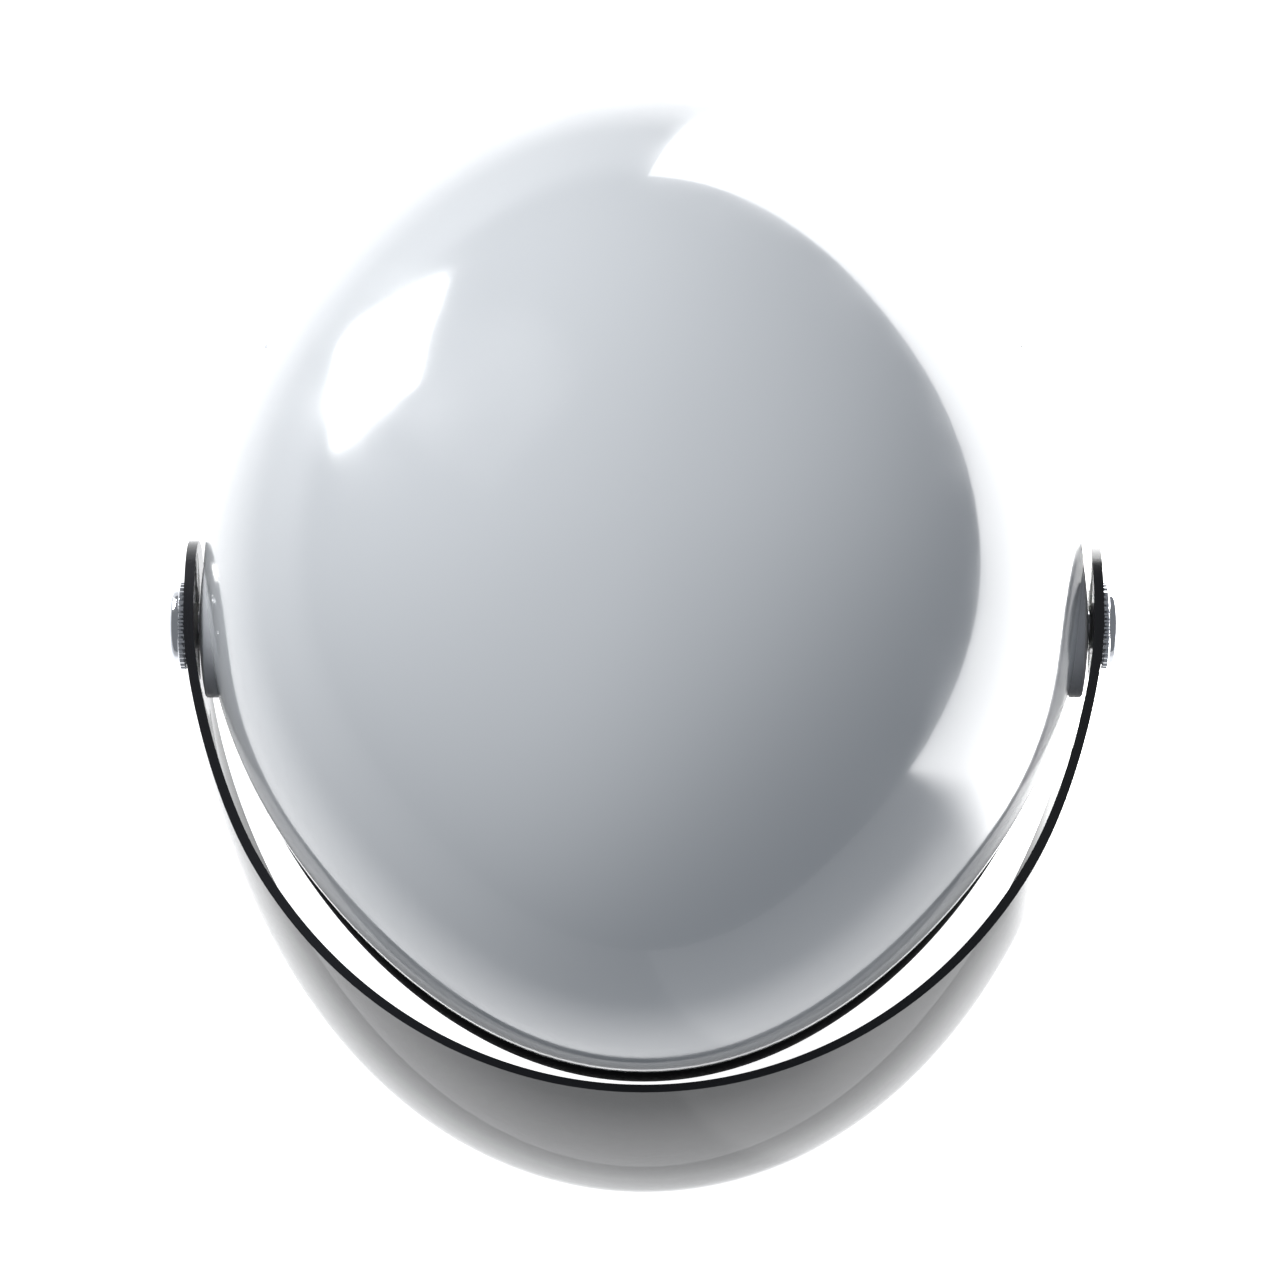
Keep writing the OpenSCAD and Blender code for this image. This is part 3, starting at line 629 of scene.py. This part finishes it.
# %% Thumbscrews
TEETH = 36
k_in, k_out = bush_hi.x + 0.1 * MM, knob_hi.x
STUD_R, SHOULDER_R, BORE_R, WASHER_T = 2.5 * MM, 3.9 * MM, 7.7 * MM, 0.5 * MM
skirt = 1.5 * MM
thick = k_out - k_in
head = lathe("thumbscrew_head", [
    (0, knob_lo.x), (STUD_R, knob_lo.x), (STUD_R, pad_hi.x + 0.1 * MM), (SHOULDER_R, pad_hi.x + 0.1 * MM),
    (SHOULDER_R, k_in + WASHER_T), (BORE_R, k_in + WASHER_T), (BORE_R, k_in),
    (KNOB_R - 0.35 * MM, k_in), (KNOB_R, k_in + 0.35 * MM), (KNOB_R, k_in + skirt),
    (KNOB_R - 0.9 * MM, k_in + skirt + 0.15 * MM), (KNOB_R - 1.1 * MM, k_in + skirt + 0.4 * MM),
    (KNOB_R - 1.15 * MM, k_in + thick * 0.62), (KNOB_R - 1.5 * MM, k_in + thick * 0.76),
    (KNOB_R - 2.3 * MM, k_in + thick * 0.87),
    (KNOB_R * 0.6, k_in + thick * 0.96), (KNOB_R * 0.3, k_in + thick * 0.99),
    (0, k_out)], steps=TEETH * 4)
for point in head.data.vertices:
    radius = math.hypot(point.co.y, point.co.z)
    if radius > KNOB_R - 0.6 * MM:
        step = round(math.atan2(point.co.z, point.co.y) / (2 * math.pi) * TEETH * 4) % 4
        if step < 2:
            point.co.y *= (KNOB_R - 0.75 * MM) / radius
            point.co.z *= (KNOB_R - 0.75 * MM) / radius
smooth(head, 30)
on_both_sides(head, [chrome], ("knob_left", "knob_right"), ("thumbscrew_left", "thumbscrew_right"), "chrome")

# %% [markdown]
# ## Flat webbing
# The straps are woven polyester, flat and as thick as a coin. A grid follows each strap's route,
# with UVs in millimetres so that the weave keeps its size. Solidify thickens it, and a small bevel
# rounds its selvedges.

# %% Straps
def strap(name, route, across, width, thick, body="hat"):
    """A strap along route(k) for k from 0 to 1, its width along across(k)."""
    rows = 60
    length = sum((route((i + 1) / rows) - route(i / rows)).length for i in range(rows))

    def place(u, v):
        step = 0.001
        along = (route(min(1, u + step)) - route(max(0, u - step))).normalized()
        side = across(u)
        side = (side - along * side.dot(along)).normalized()
        return route(u) + side * width * (v - 0.5)

    piece = lay_grid(name, rows, 6, place, uv_size=(length / MM, width / MM))
    modify(piece, "SOLIDIFY", thickness=thick, offset=0)
    modify(piece, "BEVEL", width=thick * 0.3, segments=2, limit_method="ANGLE")
    smooth(piece, 50)
    return piece


WEB_W, WEB_T, WEB_TOP = 18 * MM, 1.4 * MM, 92 * MM
front_key, side_key = key_starts
CROSS_Y = mix(front_key.y, side_key.y, front_key.x / (front_key.x + side_key.x))


def over_the_crown(side, lift):
    def route(k):
        if k < 0.5:
            a = k * math.pi
            x, y, base = side * (front_key.x - 1.5 * MM), front_key.y + 1.5 * MM, front_key.z + 4 * MM
        else:
            a = (1 - k) * math.pi
            x, y, base = -side * (side_key.x - 4.8 * MM), side_key.y - 1.2 * MM, side_key.z + 5.8 * MM
        return Vector((x * math.cos(a), CROSS_Y + (y - CROSS_Y) * math.cos(a),
                       mix(base, WEB_TOP + lift, math.sin(a))))
    return route


for name, side, lift in (("crown_strap_a", 1, 0), ("crown_strap_b", -1, 3.4 * MM)):
    route = over_the_crown(side, lift)
    run = (route(0) - route(1))
    piece = strap(name + "_web", route, lambda k, run=run: Vector((-run.y, run.x, 0)), WEB_W, WEB_T)
    finish(piece, [webbing], "hat", name, slot="webbing")

# %% [markdown]
# ## Hard pieces of the harness
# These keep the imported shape. A copy of each CAD node is merged, its flat faces are joined, and a
# small bevel gives its edges the soft break that every moulding has.

# %% Bevelled copies
def merged_copy(node, ending):
    """A copy of a CAD node with its loose triangles merged and its flat faces joined."""
    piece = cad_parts[node].copy()
    piece.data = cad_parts[node].data.copy()
    for key in [k for k in piece.keys() if k.startswith("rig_")]:
        del piece[key]
    bpy.context.collection.objects.link(piece)
    piece.parent = None
    piece.matrix_world = Matrix.Identity(4)
    piece.hide_render = piece.hide_viewport = False
    piece.name = piece.data.name = node + ending
    only(piece)
    bpy.ops.object.mode_set(mode="EDIT")
    bpy.ops.mesh.select_all(action="SELECT")
    bpy.ops.mesh.remove_doubles(threshold=2e-6)
    bpy.ops.mesh.dissolve_limited(angle_limit=math.radians(1.5))
    bpy.ops.object.mode_set(mode="OBJECT")
    return piece


def moulded(node, finishes, body, slot, break_edge=0.35 * MM, degrees=32):
    piece = merged_copy(node, "_moulding")
    if break_edge:
        modify(piece, "BEVEL", width=break_edge, segments=2, limit_method="ANGLE",
               angle_limit=math.radians(40), use_clamp_overlap=True)
    smooth(piece, degrees)
    return finish(piece, finishes, body, node, slot=slot)


for node, finishes, body, slot, edge in (
        ("headband", [band_grey], "hat", "grey_plastic", 0.4 * MM),
        ("tail_left", [band_grey], "left_tail", "grey_plastic", 0.2 * MM),
        ("tail_right", [band_grey], "right_tail", "grey_plastic", 0.2 * MM),
        ("ratchet_front_cover", [nylon_black], "hat", "black_plastic", 0.5 * MM),
        ("ratchet_back_cover", [nylon_black], "hat", "black_plastic", 0.5 * MM),
        ("ratchet_knob", [nylon_black], "ratchet", "black_plastic", 0.4 * MM),
        ("harness_keys", [band_grey], "hat", "grey_plastic", 0.4 * MM),
        ("divider_left", [nylon_black], "hat", "black_plastic", 0.5 * MM),
        ("divider_right", [nylon_black], "hat", "black_plastic", 0.5 * MM),
        ("buckle_socket", [nylon_black], "hat", "black_plastic", 0.5 * MM),
        ("buckle_plug", [nylon_black], "plug", "black_plastic", 0.4 * MM),
        ("yoke_left", [hung_webbing], "hat", "webbing", 0.25 * MM),
        ("yoke_right", [hung_webbing], "hat", "webbing", 0.25 * MM),
        ("chin_web_left", [hung_webbing], "hat", "webbing", 0.25 * MM),
        ("chin_web_right", [hung_webbing], "hat", "webbing", 0.25 * MM)):
    moulded(node, finishes, body, slot, edge)

# %% [markdown]
# ## Padded pieces
# The sweatband and the nape, crown and chin pads are thin foam in a knitted cover, sewn at the edge
# and fuller in the middle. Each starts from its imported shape, is remeshed finely enough to keep its
# thickness, and is rounded. A short cloth simulation with air pressure then fills it, and a cap on
# how far each point may move keeps it clear of its neighbours.

# %% Pads filled by cloth
PAD_FRAMES = 20


def filled(node, voxel, cap):
    piece = merged_copy(node, "_padding")
    modify(piece, "REMESH", mode="VOXEL", voxel_size=voxel)
    modify(piece, "SMOOTH", factor=0.5, iterations=5)
    start = [point.co.copy() for point in piece.data.vertices]
    cloth = piece.modifiers.new("Cloth", "CLOTH")
    cloth.settings.use_pressure = True
    cloth.settings.uniform_pressure_force = 4
    cloth.settings.effector_weights.gravity = 0
    for step in range(1, PAD_FRAMES + 1):
        bpy.context.scene.frame_set(step)
    only(piece)
    bpy.ops.object.modifier_apply(modifier=cloth.name)
    bpy.context.scene.frame_set(1)
    for point, first in zip(piece.data.vertices, start):
        moved = point.co - first
        if moved.length > cap:
            point.co = first + moved.normalized() * cap
    smooth(piece, 80)
    finish(piece, [foam], "hat", node, slot="foam")
    return piece


for node, voxel, cap in (("sweatband", 1.0 * MM, 0.35 * MM), ("nape_pad", 1.0 * MM, 0.35 * MM),
                         ("crown_pad", 1.0 * MM, 0.4 * MM), ("chin_pad", 0.8 * MM, 0.3 * MM)):
    filled(node, voxel, cap)

# %% Plain CAD nodes take their finish as they are
for node, finish_of in (("insert_left", steel), ("insert_right", steel), ("spring_washer_left", steel),
                        ("spring_washer_right", steel), ("cover_screws", steel), ("pinion", acetal),
                        ("detent_spring", steel), ("crown_rivet", steel)):
    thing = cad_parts[node]
    thing.data.materials.clear()
    thing.data.materials.append(finish_of)

# %% [markdown]
# ## Floor, lights and camera
# A pale floor lies under the hat. Its glow is painted light, pooled near the hat and far brighter to
# the right, because a glossy dome mirrors the ground wherever it leans away from the eye. One small
# square light behind the left shoulder shows only as a highlight, and the key light does the lighting
# without showing.

# %% Floor
NEAR_GLOW, FAR_GLOW, RIGHT_GLOW, FRONT_SHARE = 0.9, 0.2, 6, 0.04
floor_z = cad_bounds[0][2] - 1 * MM
start_clean()
bpy.ops.mesh.primitive_plane_add(size=8, location=(0, 0, floor_z))
floor = bpy.context.object
floor.name = "floor"
floor_paint, tree, shader = material("Studio floor with painted glow", "#F4F5F6", Roughness=0.6, Emission_Strength=0.9)
shader.inputs["Emission Color"].default_value = linear("#FFFFFF")
# The floor's glow is painted light. It is even near the hat and fades beyond it. To the right it is far
# stronger, as if a long softbox lay on it, which is what the dome's bright right side mirrors.
ground = add(tree, "SeparateXYZ", {"Vector": add(tree, "TexCoord").outputs["Object"]})
distance = add(tree, "VectorMath", {0: ground.inputs["Vector"].links[0].from_socket}, operation="LENGTH")
near = add(tree, "MapRange", {"Value": distance.outputs["Value"]}, interpolation_type="SMOOTHSTEP",
           From_Min=0.28, From_Max=0.55, To_Min=NEAR_GLOW, To_Max=FAR_GLOW)
rightward = add(tree, "MapRange", {"Value": ground.outputs["X"]}, interpolation_type="SMOOTHSTEP",
                From_Min=0.045, From_Max=0.06)
lean = add(tree, "Math", {0: ground.outputs["X"], 2: ground.outputs["Y"]}, operation="MULTIPLY_ADD")
lean.inputs[1].default_value = 0.6
rearward = add(tree, "MapRange", {"Value": lean.outputs[0]}, interpolation_type="SMOOTHSTEP",
               From_Min=-0.02, From_Max=0.06)
beside = add(tree, "Math", {0: rearward.outputs["Result"]}, operation="ADD")
beside.inputs[1].default_value = FRONT_SHARE
# Painted light over the floor's right side, strong towards the rear and faint in front.
painted_light = add(tree, "Math", {0: rightward.outputs["Result"], 1: beside.outputs[0]}, operation="MULTIPLY")
glow = add(tree, "Math", {0: painted_light.outputs[0], 2: near.outputs["Result"]}, operation="MULTIPLY_ADD")
glow.inputs[1].default_value = RIGHT_GLOW
tree.links.new(glow.outputs[0], shader.inputs["Emission Strength"])
floor.data.materials.append(floor_paint)
floor.visible_diffuse = False


# %% Lights
def softbox(name, place, aim, width, height, watts, turn=0, mirrored=False):
    """A soft light. A mirrored one shows in glossy faces only, and any other lights without showing."""
    light = bpy.data.lights.new(name, "AREA")
    light.shape, light.size, light.size_y, light.energy = "RECTANGLE", width, height, watts
    holder = bpy.data.objects.new(name, light)
    bpy.context.collection.objects.link(holder)
    facing = (Vector(place) - Vector(aim)).to_track_quat("Z", "Y").to_matrix().to_4x4()
    holder.matrix_world = Matrix.Translation(place) @ facing @ Matrix.Rotation(math.radians(turn), 4, "Z")
    holder.visible_camera = False
    holder.visible_diffuse = mirrored is False
    holder.visible_glossy = mirrored
    return holder


softbox("diamond", (-0.285, 0.215, 0.1), (-0.062, 0.047, 0.1), 0.135, 0.135, 3.4, 45, mirrored=True)
softbox("key", (-1.0, 1.0, 1.2), (0, 0, 0.05), 0.9, 0.9, 23)

world = bpy.data.worlds.new("studio")
bpy.context.scene.world = world
world.use_nodes = True
world.node_tree.nodes["Background"].inputs["Color"].default_value = linear("#C9CDD3")
world.node_tree.nodes["Background"].inputs["Strength"].default_value = 0.42
bpy.context.scene.view_settings.view_transform = "Standard"

# %% Camera
ELEVATION = math.radians(82)
DISTANCE = 1.6
start_clean()
bpy.ops.object.camera_add()
camera = bpy.context.object
back = Vector((0, -math.cos(ELEVATION), math.sin(ELEVATION)))
up = Vector((0, math.sin(ELEVATION), math.cos(ELEVATION)))
aim = Vector((-1 * MM, PIVOT_Y, PIVOT_Z)) - up * 3.7 * MM
camera.location = aim + back * DISTANCE
camera.rotation_euler = back.to_track_quat("Z", "Y").to_euler()
camera.data.sensor_width = 36
camera.data.lens = 36 * DISTANCE / 0.3359
camera.data.clip_end = 20
bpy.context.scene.camera = camera
